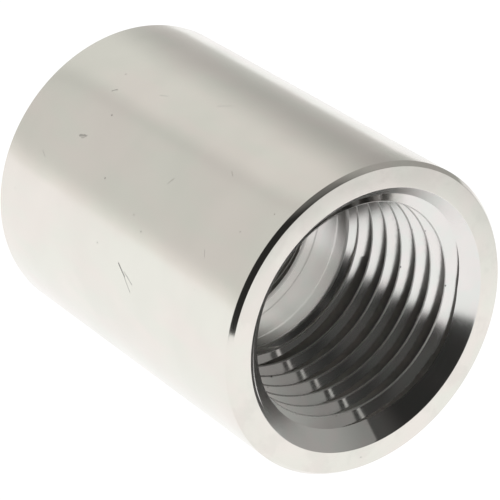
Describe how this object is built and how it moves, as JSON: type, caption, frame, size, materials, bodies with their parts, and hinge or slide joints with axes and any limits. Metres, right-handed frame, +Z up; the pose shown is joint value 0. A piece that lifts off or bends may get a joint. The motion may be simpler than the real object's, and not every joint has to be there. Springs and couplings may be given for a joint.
{
  "type": "pipe coupling",
  "caption": "Round stainless pipe coupling with a right-hand internal taper pipe thread in each end and a short plain bore between them.",
  "frame": {"origin": "middle of the part, on its axis, half way between the two end faces", "axes": "+X along the bore axis, out of one end; the part lies on its side with +Z up"},
  "size_m": [0.0338, 0.026, 0.026],
  "materials": {
    "turned_stainless": "fine-turned bright stainless steel, lightly polished"
  },
  "bodies": {
    "root": {"coupling_body": "turned_stainless"}
  },
  "joints": []
}
